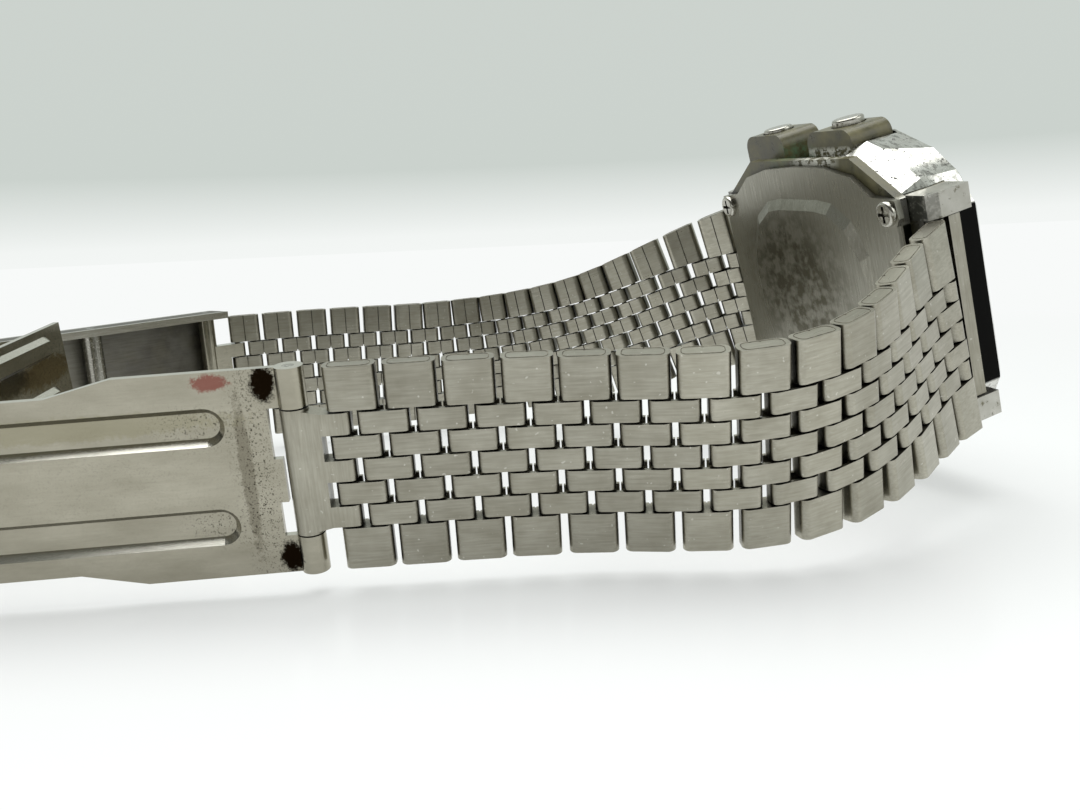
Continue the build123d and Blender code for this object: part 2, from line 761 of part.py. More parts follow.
def cover_bars():
    """The spring bar in the end piece's roll, and the tube that the middle blade is hinged on."""
    inside = cover_half_width - cover_sheet - cover_side_gap
    tube = pin(cover_bar_radius, cover_half_width) + pin(cover_bar_tube_radius, inside)
    return [pin(spring_bar_radius, cover_half_width), Pos(cover_bar_x, 0, 0) * tube]


# Where everything lies

def case_frame():
    return Location(case_place, case_turn)


def lug_frame(side):
    """Pin frame at one lug: x away from the case, z towards the buttons, in the band's middle."""
    origin = (side * spring_bar_x, band_offset_y, 0)
    plane = Plane(origin=origin, x_dir=(side, 0, 0), z_dir=(0, 1, 0))
    return case_frame() * plane.location


def clasp_frames(near_end, far_end):
    """Frames of the clasp's pieces at their pins, from the two ends of the bracelet."""
    blade = near_end * Pos(end_piece_reach, 0, 0) * Rot(0, 0, blade_bend)
    middle = blade * Pos(blade_length, 0, 0) * Rot(0, 0, middle_bend)
    far_piece = far_end * Rot(0, 0, far_piece_bend)
    cover_base = far_piece * Pos(far_piece_reach, 0, 0) * Rot(0, 0, cover_bend)
    return blade, middle, far_piece, cover_base


def layout():
    """All frames: the rows of each half, the last pins and the clasp."""
    near_rows, near_end = chain_frames(lug_frame(-1), near_bends, near_twists, near_skews)
    far_rows, far_end = chain_frames(lug_frame(1), far_bends, far_twists, far_skews)
    return near_rows, near_end, far_rows, far_end, clasp_frames(near_end, far_end)


def case_nodes():
    """The nodes of the case, in the case's own frame."""
    mode, light = button_places()
    return {
        "case_body": [case_body()],
        "chrome_shell": [shell_body()],
        "crystal": [crystal()],
        "crystal_gasket": [crystal_gasket()],
        "display_mask": [display_mask()],
        "lcd_panel": [lcd_panel()],
        "contact_strips": contact_strips(),
        "module_frame": [module_frame()],
        "circuit_board": [circuit_board()],
        "battery": [battery()],
        "back_gasket": [back_gasket()],
        "back_plate": [back_plate()],
        "back_screws": back_screws(),
        "lug_spring_bars": spring_bars(),
        "lug_end_links": end_links(),
        "mode_button": [button(*mode)],
        "mode_button_clip": [button_clip(*mode[:3])],
        "mode_button_spring": [button_spring(*mode[:2])],
        "light_button": [button(*light)],
        "light_button_clip": [button_clip(*light[:3])],
        "light_button_spring": [button_spring(*light[:2])],
        "button_seals": [button_seal(*mode[:2]), button_seal(*light[:2])],
    }


def build():
    """Every node as a list of solids in the table's frame."""
    near_rows, near_end, far_rows, far_end, clasp = layout()
    blade, middle, far_piece, cover_base = clasp
    nodes = {}
    for name, solids in case_nodes().items():
        nodes[name] = [case_frame() * solid for solid in solids]
    for index, (_, inner_row, outer_row) in enumerate(near_rows):
        nodes[f"near_link_{index + 1:02d}"] = link_pitch_solids(index, inner_row, outer_row, -1)
    for index, (_, inner_row, outer_row) in enumerate(far_rows):
        nodes[f"far_link_{index + 1:02d}"] = link_pitch_solids(index, inner_row, outer_row, 1)
    nodes["near_end_piece"] = [near_end * near_end_piece()]
    nodes["grooved_blade"] = [blade * grooved_blade()]
    nodes["blade_hinge_pins"] = [blade * solid for solid in blade_pins()]
    nodes["middle_blade"] = [middle * middle_blade()]
    nodes["far_end_piece"] = [far_piece * far_end_piece()]
    nodes["clasp_cover"] = [cover_base * cover()]
    nodes["cover_bars"] = [cover_base * solid for solid in cover_bars()]
    return nodes


def table_shift(nodes):
    """Moves the whole watch so that its origin is in the middle of its footprint, on the table."""
    solids = [solid for group in nodes.values() for solid in group]
    box = Compound(solids).bounding_box()
    return Pos(-box.center().X, -box.center().Y, -box.min.Z)


def flat_solids(shapes):
    return [solid for shape in shapes for solid in shape.solids()]


def main():
    os.makedirs("parts", exist_ok=True)
    nodes = {name: flat_solids(shapes) for name, shapes in build().items()}
    shift = table_shift(nodes)
    for name, solids in nodes.items():
        export_step(Compound([shift * solid for solid in solids]), f"parts/{name}.step")


if __name__ == "__main__":
    main()
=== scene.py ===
"""Looks of the digital watch: materials, small details, a pale table, soft light and the camera.

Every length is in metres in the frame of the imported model; mm turns millimetres into metres.
"""
import json
import math

import bpy
from mathutils import Matrix, Vector


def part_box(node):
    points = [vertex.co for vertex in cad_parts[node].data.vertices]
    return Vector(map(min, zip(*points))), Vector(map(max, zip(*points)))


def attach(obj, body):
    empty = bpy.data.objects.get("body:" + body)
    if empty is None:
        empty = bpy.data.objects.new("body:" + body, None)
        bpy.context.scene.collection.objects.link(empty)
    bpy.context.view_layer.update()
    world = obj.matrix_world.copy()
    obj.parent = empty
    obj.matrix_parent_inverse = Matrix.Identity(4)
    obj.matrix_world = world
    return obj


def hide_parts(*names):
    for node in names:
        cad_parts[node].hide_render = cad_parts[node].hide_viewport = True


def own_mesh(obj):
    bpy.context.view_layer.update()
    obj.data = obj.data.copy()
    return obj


mm = 0.001
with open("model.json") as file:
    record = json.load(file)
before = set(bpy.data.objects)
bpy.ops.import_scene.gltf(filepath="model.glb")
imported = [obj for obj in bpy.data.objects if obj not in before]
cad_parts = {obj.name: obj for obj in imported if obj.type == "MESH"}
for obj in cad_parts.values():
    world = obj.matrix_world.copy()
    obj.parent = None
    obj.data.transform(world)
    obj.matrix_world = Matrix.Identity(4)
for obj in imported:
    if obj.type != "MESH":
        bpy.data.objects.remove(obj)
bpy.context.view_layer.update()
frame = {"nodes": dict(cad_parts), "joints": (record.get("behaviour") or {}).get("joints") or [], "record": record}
nodes = frame["nodes"]
joints = {joint["name"]: joint for joint in frame["joints"]}

near_count = 14
far_count = 17


# Places worked out from the joints and the back's mount

def joint_place(name):
    return Vector(joints[name]["pos_m"])


def axes_matrix(origin, along, across):
    """A frame at origin with x along the first direction and z as near the second as it can be."""
    x = along.normalized()
    z = (across - x * across.dot(x)).normalized()
    y = z.cross(x)
    matrix = Matrix((x, y, z)).transposed().to_4x4()
    matrix.translation = origin
    return matrix


def upright_axis(name):
    """The joint's axis, turned to point up: joints that open the other way state it downwards."""
    axis = Vector(joints[name]["axis"])
    return axis if axis.z > 0 else -axis


def middle_of(name):
    low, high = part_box(name)
    return (low + high) / 2


def hinge_frame(name, towards):
    place = joint_place(name)
    return axes_matrix(place, towards - place, upright_axis(name))


def link_frames(side, count):
    """Each link's frame, from its own pin to the next one."""
    names = [f"{side}_link_{index:02d}_hinge" for index in range(1, count + 1)]
    names.append(f"{side}_end_piece_hinge")
    return [hinge_frame(name, joint_place(after)) for name, after in zip(names, names[1:])]


def case_matrix():
    """The case's frame: y towards the buttons, z out of the screen, on the line of the lug bars."""
    mount = frame["record"]["mounts"][0]
    out_of_screen = -Vector(mount["axis"])
    to_buttons = -Vector(joints["mode_button_slide"]["axis"])
    back_depth = 2.93 * mm
    origin = Vector(mount["pos_m"]) + out_of_screen * back_depth
    return axes_matrix(origin, to_buttons.cross(out_of_screen), out_of_screen)


near_frames = link_frames("near", near_count)
far_frames = link_frames("far", far_count)
case_frame = case_matrix()
blade_frame = hinge_frame("grooved_blade_hinge", joint_place("middle_blade_hinge"))
middle_frame = hinge_frame("middle_blade_hinge", middle_of("middle_blade"))
cover_frame = hinge_frame("clasp_cover_hinge", middle_of("clasp_cover"))
near_end_frame = hinge_frame("near_end_piece_hinge", joint_place("grooved_blade_hinge"))
far_end_frame = hinge_frame("far_end_piece_hinge", joint_place("clasp_cover_hinge"))


# Colours and nodes

def colour(hex_code):
    """An sRGB hex value as the linear colour that the nodes take."""
    parts = [int(hex_code[start:start + 2], 16) / 255 for start in (1, 3, 5)]
    linear = [part / 12.92 if part <= 0.04045 else ((part + 0.055) / 1.055) ** 2.4 for part in parts]
    return (*linear, 1.0)


def node(tree, kind, inputs=None, **settings):
    """Adds one node. inputs maps a socket to a value, or to another node's socket to link it."""
    made = tree.nodes.new(kind)
    for name, value in settings.items():
        setattr(made, name, value)
    for key, value in (inputs or {}).items():
        socket = made.inputs[key]
        if isinstance(value, bpy.types.NodeSocket):
            tree.links.new(value, socket)
        else:
            socket.default_value = value
    return made


def new_material(name):
    material = bpy.data.materials.new(name)
    material.use_nodes = True
    tree = material.node_tree
    tree.nodes.clear()
    return material, tree


def surface(tree, **inputs):
    """The shader and the output. Names are the shader's own, with underscores for spaces."""
    shader = node(tree, "ShaderNodeBsdfPrincipled", {
        key.replace("_", " "): value for key, value in inputs.items()})
    node(tree, "ShaderNodeOutputMaterial", {"Surface": shader.outputs[0]})
    return shader


def local_place(tree, matrix):
    """Object coordinates turned into a piece's own frame, in millimetres."""
    place = node(tree, "ShaderNodeTexCoord").outputs["Object"]
    turned = node(tree, "ShaderNodeMapping", {
        "Vector": place, "Location": matrix.translation, "Rotation": matrix.to_euler(),
    }, vector_type="TEXTURE").outputs[0]
    return node(tree, "ShaderNodeVectorMath", {0: turned, "Scale": 1 / mm}, operation="SCALE").outputs[0]


def stretched(tree, place, factors):
    return node(tree, "ShaderNodeVectorMath", {0: place, 1: factors}, operation="MULTIPLY").outputs[0]


def noise(tree, place, scale, detail=3.0, roughness=0.55, seed=0.0):
    """Noise whose features are about one over scale apart."""
    return node(tree, "ShaderNodeTexNoise", {
        "Vector": place, "W": seed, "Scale": scale, "Detail": detail, "Roughness": roughness,
    }, noise_dimensions="4D").outputs["Fac"]


def ramp(tree, value, low, high, start=0.0, end=1.0):
    """Straight ramp: start at low and below, end at high and above."""
    return node(tree, "ShaderNodeMapRange", {
        "Value": value, "From Min": low, "From Max": high, "To Min": start, "To Max": end,
    }).outputs[0]


def times(tree, first, second):
    return node(tree, "ShaderNodeMath", {0: first, 1: second}, operation="MULTIPLY").outputs[0]


def plus(tree, first, second):
    return node(tree, "ShaderNodeMath", {0: first, 1: second}, operation="ADD").outputs[0]


def larger(tree, first, second):
    return node(tree, "ShaderNodeMath", {0: first, 1: second}, operation="MAXIMUM").outputs[0]


def mixed(tree, share, first, second, blend="MIX"):
    """One colour over another; each colour is a hex value's linear colour or a socket."""
    made = node(tree, "ShaderNodeMix", {"Factor": share}, data_type="RGBA", blend_type=blend)
    for socket, value in zip([s for s in made.inputs if s.type == "RGBA"], (first, second)):
        if isinstance(value, bpy.types.NodeSocket):
            tree.links.new(value, socket)
        else:
            socket.default_value = value
    return [s for s in made.outputs if s.type == "RGBA"][0]


def dot(tree, first, second):
    return node(tree, "ShaderNodeVectorMath", {
        0: first, 1: second}, operation="DOT_PRODUCT").outputs["Value"]


def absolute(tree, value):
    return node(tree, "ShaderNodeMath", {0: value}, operation="ABSOLUTE").outputs[0]


def split(tree, place):
    """The X, Y and Z of a place, each a socket of its own."""
    return node(tree, "ShaderNodeSeparateXYZ", {0: place}).outputs


def bump(tree, height, depth_mm, strength=1.0):
    return node(tree, "ShaderNodeBump", {
        "Height": height, "Distance": depth_mm * mm, "Strength": strength}).outputs[0]


def near_point(tree, place, centre, reach, fade):
    """One at a point in a piece's frame, falling to zero past reach; all in millimetres."""
    offset = node(tree, "ShaderNodeVectorMath", {0: place, 1: centre}, operation="SUBTRACT").outputs[0]
    shaped = stretched(tree, offset, [1 / size for size in reach])
    length = node(tree, "ShaderNodeVectorMath", {0: shaped}, operation="LENGTH").outputs["Value"]
    return ramp(tree, length, 1.0 - fade, 1.0 + fade, start=1.0, end=0.0)


def facing(tree, matrix, along):
    """One where the surface faces a direction of a piece's frame, zero where it faces away."""
    direction = matrix.to_3x3() @ Vector(along)
    normal = node(tree, "ShaderNodeTexCoord").outputs["Normal"]
    return ramp(tree, dot(tree, normal, direction), 0.2, 0.5)


# Materials

# Noise scales are per millimetre: one over a scale is about the distance between features.
brush_pitch_mm = 0.16  # true grain is about 0.03 mm, too fine to show
brush_length_mm = 2.6
brush_depth_mm = 0.004
rim_z_mm = 5.5  # the front rim of the shell starts here, counted from the line of the lug bars
upwards = (0, 0, 1)
downwards = (0, 0, -1)


def brush_lines(tree, place, seed=0.0, along=(1, 0, 0)):
    """Fine lines along one direction of a piece, as an abrasive belt leaves them."""
    factors = [1 / brush_length_mm if share else 1 / brush_pitch_mm for share in along]
    return noise(tree, stretched(tree, place, factors), 1.0, detail=2.0, roughness=0.6, seed=seed)


def crevice_shade_and_dirt(tree, reach_mm):
    """Dark where surfaces come close together: painted shade, and the dirt that settles there."""
    hidden = node(tree, "ShaderNodeAmbientOcclusion", {"Distance": reach_mm * mm}, samples=6)
    return ramp(tree, hidden.outputs["AO"], 0.25, 0.8, start=1.0, end=0.0)


def brushed_steel(name, matrix, tone, seed, along=(1, 0, 0)):
    """Stainless steel brushed along the band: warm grey, streaked, with painted shade and dirt in the gaps."""
    cloud_scale = 0.35  # soft changes of shade, about 3 mm apart
    nick_scale = 3.2  # small bright nicks
    crevice_reach_mm = 0.9
    warmth = 0.985  # a little less blue than grey
    material, tree = new_material(name)
    place = local_place(tree, matrix)
    lines = brush_lines(tree, place, seed=seed, along=along)
    clouds = noise(tree, place, cloud_scale, detail=3.0, roughness=0.6, seed=seed + 3.0)
    base = mixed(tree, ramp(tree, lines, 0.3, 0.7), colour("#9f9c90"), colour("#b2afa3"))
    base = mixed(tree, ramp(tree, clouds, 0.35, 0.7, start=0.0, end=0.4), base, colour("#767160"))
    # The tone is random for each link, and for the near links by the clasp it also carries painted shade.
    shade = (tone, tone, tone * warmth, 1.0)
    base = mixed(tree, 1.0, base, shade, "MULTIPLY")
    # Painted shade with dirt: near black in the gaps, where surfaces come close together.
    base = mixed(tree, times(tree, crevice_shade_and_dirt(tree, crevice_reach_mm), 0.95), base, colour("#120f0a"))
    dots = noise(tree, place, nick_scale, detail=1.0, roughness=0.4, seed=seed + 9.0)
    nicks = ramp(tree, dots, 0.72, 0.76)
    base = mixed(tree, times(tree, nicks, 0.5), base, colour("#d8d6cd"))
    surface(tree, Base_Color=base, Metallic=1.0,
            Roughness=ramp(tree, lines, 0.2, 0.8, start=0.34, end=0.26),
            Normal=bump(tree, lines, brush_depth_mm, strength=0.5))
    return material


# Painted shade and light on the links: the near links by the clasp, past the eighth, are darker, and the others
# lighter.
last_lit_link = 8
painted_lit_tone = 1.03
painted_shade_tone = 0.9
least_tone = 0.94
tone_spread = 0.1
tone_step = 0.618  # steps by the golden ratio, so that neighbours differ


def link_tone(side, index):
    """Links differ a little in tone at random; the near ones by the clasp are painted darker as shade, the rest a
    little lighter as lit.
    """
    step = index if side == "near" else index + 5
    tone = painted_shade_tone if side == "near" and index > last_lit_link else painted_lit_tone
    return tone * (least_tone + tone_spread * ((step * tone_step) % 1))


def edge_line_steel():
    """The dark line where the folded sheet of an outer bar meets itself: a gap full of dirt."""
    grain_scale = 1.5 / mm
    material, tree = new_material("sheet_fold_dirt")
    place = node(tree, "ShaderNodeTexCoord").outputs["Object"]
    fine = noise(tree, place, grain_scale, detail=2.0)
    base = mixed(tree, ramp(tree, fine, 0.35, 0.65), colour("#4a4539"), colour("#8b8779"))
    surface(tree, Base_Color=base, Metallic=0.6, Roughness=0.55)
    return material


def blade_steel(name, matrix, stains, pepper):
    """Pressed stainless sheet: smooth grey with soft blotches, brown stains and specks of dirt.

    Each stain is a centre, a reach, a colour and an amount; each pepper patch has no colour.
    Surfaces that face up get a painted highlight, and those that face down get painted shade.
    """
    cloud_scale = 0.45
    torn_scale = 2.4  # ragged outlines of the stains
    speck_scale = 8.5  # single specks of dirt, drawn about 0.1 mm wide
    crevice_reach_mm = 0.35
    cloud_depth_mm = 0.02
    material, tree = new_material(name)
    place = local_place(tree, matrix)
    lines = brush_lines(tree, place)
    long_place = stretched(tree, place, (0.35, 1.0, 1.0))
    clouds = noise(tree, long_place, cloud_scale, detail=4.0, roughness=0.6, seed=2.0)
    base = mixed(tree, ramp(tree, clouds, 0.3, 0.7), colour("#979384"), colour("#b0ac9d"))
    base = mixed(tree, ramp(tree, lines, 0.35, 0.75, start=0.0, end=0.2), base, colour("#8b8674"))
    for centre, reach, hex_code, amount in stains:
        torn = noise(tree, place, torn_scale, detail=5.0, roughness=0.8, seed=centre[0])
        spread = near_point(tree, place, centre, reach, fade=0.95)
        patch = ramp(tree, plus(tree, spread, torn), 0.92, 1.1)
        base = mixed(tree, times(tree, patch, amount), base, colour(hex_code))
    specks = ramp(tree, noise(tree, place, speck_scale, detail=3.0, roughness=0.6, seed=5.0), 0.55, 0.61)
    for centre, reach, amount in pepper:
        spread = near_point(tree, place, centre, reach, fade=0.6)
        base = mixed(tree, times(tree, times(tree, specks, spread), amount), base, colour("#241b12"))
    # Painted highlight: surfaces that face up are lightened, as light from above would do.
    painted_highlight = times(tree, facing(tree, matrix, upwards), 0.85)
    base = mixed(tree, painted_highlight, base, colour("#d4d2c8"))
    # Painted shade: surfaces that face down are darkened.
    painted_shade = times(tree, facing(tree, matrix, downwards), 0.7)
    base = mixed(tree, painted_shade, base, colour("#3d382a"))
    # Painted shade with dirt: dark brown where surfaces come close together.
    base = mixed(tree, times(tree, crevice_shade_and_dirt(tree, crevice_reach_mm), 0.7), base, colour("#1f180f"))
    surface(tree, Base_Color=base, Metallic=1.0,
            Roughness=ramp(tree, clouds, 0.25, 0.75, start=0.14, end=0.26),
            Normal=bump(tree, clouds, cloud_depth_mm, strength=0.5))
    return material


def cover_steel():
    """The clasp cover: bright folded edges, and a dull brown film on the floor inside."""
    cloud_scale = 0.4
    patch_scale = 0.3
    material, tree = new_material("folded_cover_steel")
    place = local_place(tree, cover_frame)
    lines = brush_lines(tree, place, seed=1.0)
    clouds = noise(tree, place, cloud_scale, detail=5.0, roughness=0.65, seed=8.0)
    depth = split(tree, place)["Y"]
    inside = times(tree, ramp(tree, depth, 1.2, 1.7, start=1.0, end=0.0), ramp(tree, depth, -1.5, -1.3))
    base = mixed(tree, ramp(tree, lines, 0.3, 0.7), colour("#a8a599"), colour("#c3c1b7"))
    film = mixed(tree, ramp(tree, clouds, 0.4, 0.62), colour("#35301f"), colour("#1c140a"))
    patches = noise(tree, place, patch_scale, detail=4.0, roughness=0.6, seed=1.0)
    patches = ramp(tree, patches, 0.45, 0.7, start=0.0, end=0.8)
    film = mixed(tree, patches, film, colour("#4c4a42"))
    base = mixed(tree, times(tree, inside, 0.97), base, film)
    surface(tree, Base_Color=base, Metallic=ramp(tree, inside, 0.0, 1.0, start=1.0, end=0.5),
            Roughness=ramp(tree, inside, 0.0, 1.0, start=0.22, end=0.42))
    return material


def back_steel():
    """The pressed back: belt-brushed steel with dark blotches from wear and skin, partly a painted reflection."""
    blot_scale = 0.9
    line_depth_mm = 0.006
    material, tree = new_material("brushed_back_steel")
    place = local_place(tree, case_frame)
    lines = brush_lines(tree, place, seed=4.0, along=(0, 1, 0))
    blots = noise(tree, place, blot_scale, detail=3.0, roughness=0.55, seed=6.0)
    worn = near_point(tree, place, (2.5, 1.5, 0.0), (8.5, 8.0, 9.0), fade=0.35)
    base = mixed(tree, ramp(tree, lines, 0.3, 0.7), colour("#8a887d"), colour("#9f9d92"))
    # Dark blots over the panel: partly wear, partly a painted reflection of the band's links.
    blots_and_painted_reflection = times(tree, worn, ramp(tree, blots, 0.42, 0.58, start=0.25, end=0.85))
    base = mixed(tree, blots_and_painted_reflection, base, colour("#46422f"))
    surface(tree, Base_Color=base, Metallic=1.0,
            Roughness=ramp(tree, lines, 0.2, 0.8, start=0.36, end=0.24),
            Normal=bump(tree, lines, line_depth_mm, strength=0.5))
    return material


def end_slot_shade(tree, place):
    """One on the slot at each end of the case, between the lugs and below the rim, which is painted black as
    shade.
    """
    edge_mm = 0.15
    parts = split(tree, place)
    along = absolute(tree, parts["X"])
    aside = absolute(tree, parts["Y"])
    within = times(tree, ramp(tree, along, 14.0, 14.2), ramp(tree, aside, 8.2, 8.4, start=1.0, end=0.0))
    return times(tree, within, ramp(tree, parts["Z"], rim_z_mm, rim_z_mm + edge_mm, start=1.0, end=0.0))


def worn_chrome():
    """Chrome plating on the shell: mirror bright, scuffed, with black pits where it has failed.

    The front is worn much less than the sides.
    """
    scuff_scale = 0.8
    pit_scale = 2.2  # pits about 0.5 mm apart
    crevice_reach_mm = 1.0
    scuff_depth_mm = 0.02
    material, tree = new_material("worn_chrome_plate")
    place = local_place(tree, case_frame)
    long_place = stretched(tree, place, (0.4, 0.9, 0.9))
    scuffs = noise(tree, long_place, scuff_scale, detail=4.0, roughness=0.6, seed=1.0)
    pits = ramp(tree, noise(tree, place, pit_scale, detail=3.0, roughness=0.6, seed=12.0), 0.61, 0.64)
    grain = stretched(tree, place, (0.5, 2.2, 2.2))
    streaks = ramp(tree, noise(tree, grain, 1.0, detail=4.0, roughness=0.65, seed=7.0), 0.5, 0.6)
    base = mixed(tree, ramp(tree, scuffs, 0.35, 0.7), colour("#dcdcd7"), colour("#b3b2aa"))
    wear = ramp(tree, facing(tree, case_frame, upwards), 0.0, 1.0, start=1.0, end=0.12)
    pits = times(tree, pits, wear)
    base = mixed(tree, times(tree, times(tree, streaks, wear), 0.55), base, colour("#4f4e47"))
    base = mixed(tree, times(tree, pits, 0.85), base, colour("#23221c"))
    # Painted shade with dirt: near black where surfaces come close together.
    base = mixed(tree, times(tree, crevice_shade_and_dirt(tree, crevice_reach_mm), 0.9), base, colour("#11130c"))
    # Painted shade: the slot at each end is near black and barely shines.
    recess_shade = end_slot_shade(tree, place)
    base = mixed(tree, recess_shade, base, colour("#0c0c0b"))
    dull = larger(tree, pits, recess_shade)
    polish = ramp(tree, scuffs, 0.3, 0.75, start=0.06, end=0.24)
    surface(tree, Base_Color=base, Metallic=ramp(tree, dull, 0.0, 1.0, start=1.0, end=0.0),
            Specular_IOR_Level=ramp(tree, recess_shade, 0.0, 1.0, start=0.5, end=0.05),
            Roughness=larger(tree, polish, times(tree, dull, 0.6)),
            Normal=bump(tree, scuffs, scuff_depth_mm, strength=0.5))
    return material


def olive_resin():
    """Moulded case: dark olive with white flakes and green corrosion; plating is left on the lugs."""
    cloud_scale = 0.6
    flake_scale = 1.5
    green_scale = 1.8
    plating_scale = 1.6
    grime_scale = 1.4
    crevice_reach_mm = 1.0
    flake_depth_mm = 0.08
    material, tree = new_material("olive_case_resin")
    place = local_place(tree, case_frame)
    cloud = noise(tree, place, cloud_scale, detail=4.0, roughness=0.6, seed=3.0)
    base = mixed(tree, ramp(tree, cloud, 0.35, 0.7), colour("#403e28"), colour("#686342"))
    parts = split(tree, place)
    across = parts["Y"]
    below = ramp(tree, across, 14.45, 14.95, start=1.0, end=0.0)
    foot = times(tree, below, ramp(tree, across, 13.25, 13.75))
    ragged = ramp(tree, noise(tree, place, flake_scale, detail=4.0, roughness=0.7, seed=2.0), 0.49, 0.52)
    near_guard = near_point(tree, place, (-3.0, 14.1, 1.5), (4.2, 3.0, 5.0), fade=0.2)
    flakes = times(tree, times(tree, foot, near_guard), ragged)
    base = mixed(tree, flakes, base, colour("#cfcfc4"))
    green_spots = near_point(tree, place, (2.9, 13.85, 1.5), (3.4, 1.6, 3.0), fade=0.4)
    grains = ramp(tree, noise(tree, place, green_scale, detail=5.0, roughness=0.7, seed=9.0), 0.42, 0.6)
    base = mixed(tree, times(tree, times(tree, green_spots, grains), 0.85), base, colour("#5f7f63"))
    along = absolute(tree, parts["X"])
    worn = noise(tree, place, plating_scale, detail=5.0, roughness=0.7, seed=15.0)
    worn = ramp(tree, worn, 0.58, 0.66, start=1.0, end=0.15)
    plated = times(tree, ramp(tree, along, 14.0, 14.4), worn)
    base = mixed(tree, plated, base, mixed(tree, cloud, colour("#c9c8c1"), colour("#9b998e")))
    # Painted shade in the end slots, and painted shade with dirt where surfaces come close, all near black.
    recess_shade = larger(tree, end_slot_shade(tree, place), times(tree, crevice_shade_and_dirt(tree, crevice_reach_mm), 0.9))
    base = mixed(tree, recess_shade, base, colour("#0c0d08"))
    lug_backs = times(tree, facing(tree, case_frame, downwards), ramp(tree, along, 12.6, 13.4))
    patchy = noise(tree, place, grime_scale, detail=5.0, roughness=0.7, seed=21.0)
    patchy = ramp(tree, patchy, 0.4, 0.52, start=0.35, end=0.95)
    grime = times(tree, lug_backs, patchy)
    base = mixed(tree, grime, base, colour("#171a10"))
    plated = times(tree, plated, ramp(tree, larger(tree, recess_shade, grime), 0.0, 1.0, start=1.0, end=0.0))
    surface(tree, Base_Color=base, Metallic=ramp(tree, plated, 0.0, 1.0, start=0.0, end=1.0), IOR=1.5,
            Specular_IOR_Level=ramp(tree, recess_shade, 0.0, 1.0, start=0.5, end=0.05),
            Roughness=ramp(tree, cloud, 0.3, 0.7, start=0.24, end=0.4),
            Normal=bump(tree, flakes, flake_depth_mm, strength=0.7))
    return material


def turned_steel(name, tone):
    """Small turned parts, such as screws, pins and buttons: bright, with a fine uneven grain and painted shade
    with dirt in crevices.
    """
    grain_scale = 4.0
    crevice_reach_mm = 0.4
    material, tree = new_material(name)
    place = local_place(tree, case_frame)
    fine = noise(tree, place, grain_scale, detail=3.0, roughness=0.6, seed=4.0)
    base = mixed(tree, ramp(tree, fine, 0.3, 0.7), colour("#9f9d93"), colour("#c6c4bb"))
    base = mixed(tree, 1.0, base, (tone, tone, tone, 1.0), "MULTIPLY")
    # Painted shade with dirt: dark where surfaces come close together.
    base = mixed(tree, times(tree, crevice_shade_and_dirt(tree, crevice_reach_mm), 0.85), base, colour("#1f1b14"))
    surface(tree, Base_Color=base, Metallic=1.0,
            Roughness=ramp(tree, fine, 0.3, 0.7, start=0.16, end=0.3))
    return material


def plain_plastic(name, dark, light, roughness, ior=1.5):
    """Moulded plastic, rubber or lacquer: even colour with a fine grain."""
    grain_scale = 2.0 / mm
    grain_depth_mm = 0.01
    material, tree = new_material(name)
    place = node(tree, "ShaderNodeTexCoord").outputs["Object"]
    grain = noise(tree, place, grain_scale, detail=3.0)
    base = mixed(tree, ramp(tree, grain, 0.3, 0.7), colour(dark), colour(light))
    surface(tree, Base_Color=base, Roughness=roughness, IOR=ior,
            Normal=bump(tree, grain, grain_depth_mm, strength=0.3))
    return material


def crystal_glass():
    """Mineral glass: clear, polished, with a faint grey tint."""
    material, tree = new_material("mineral_glass")
    surface(tree, Base_Color=colour("#f2f5f4"), Roughness=0.02, IOR=1.52, Transmission_Weight=1.0)
    return material


def liquid_crystal():
    """The display's grey-green reflector behind its polariser."""
    material, tree = new_material("display_reflector")
    place = local_place(tree, case_frame)
    grain = noise(tree, place, 6.0, detail=2.0)
    base = mixed(tree, ramp(tree, grain, 0.3, 0.7), colour("#9aa48c"), colour("#a5ae97"))
    surface(tree, Base_Color=base, Roughness=0.35, IOR=1.5)
    return material


def segment_black():
    """Switched-on liquid crystal segments: dark, slightly blue."""
    material, tree = new_material("dark_segments")
    place = local_place(tree, case_frame)
    grain = noise(tree, place, 8.0, detail=2.0)
    base = mixed(tree, grain, colour("#20242a"), colour("#2a2e33"))
    surface(tree, Base_Color=base, Roughness=0.4, IOR=1.5)
    return material


def dress(name, material):
    """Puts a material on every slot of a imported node."""
    for slot in nodes[name].material_slots:
        slot.material = material


seed_step = 1.7


def dress_links():
    """Each link gets the brushed steel with its own direction and tone, with painted shade on the near ones by the
    clasp.
    """
    for side, frames in (("near", near_frames), ("far", far_frames)):
        for index, matrix in enumerate(frames, 1):
            name = f"{side}_link_{index:02d}"
            tone = link_tone(side, index)
            dress(name, brushed_steel(f"brushed_steel_{name}", matrix, tone, index * seed_step))


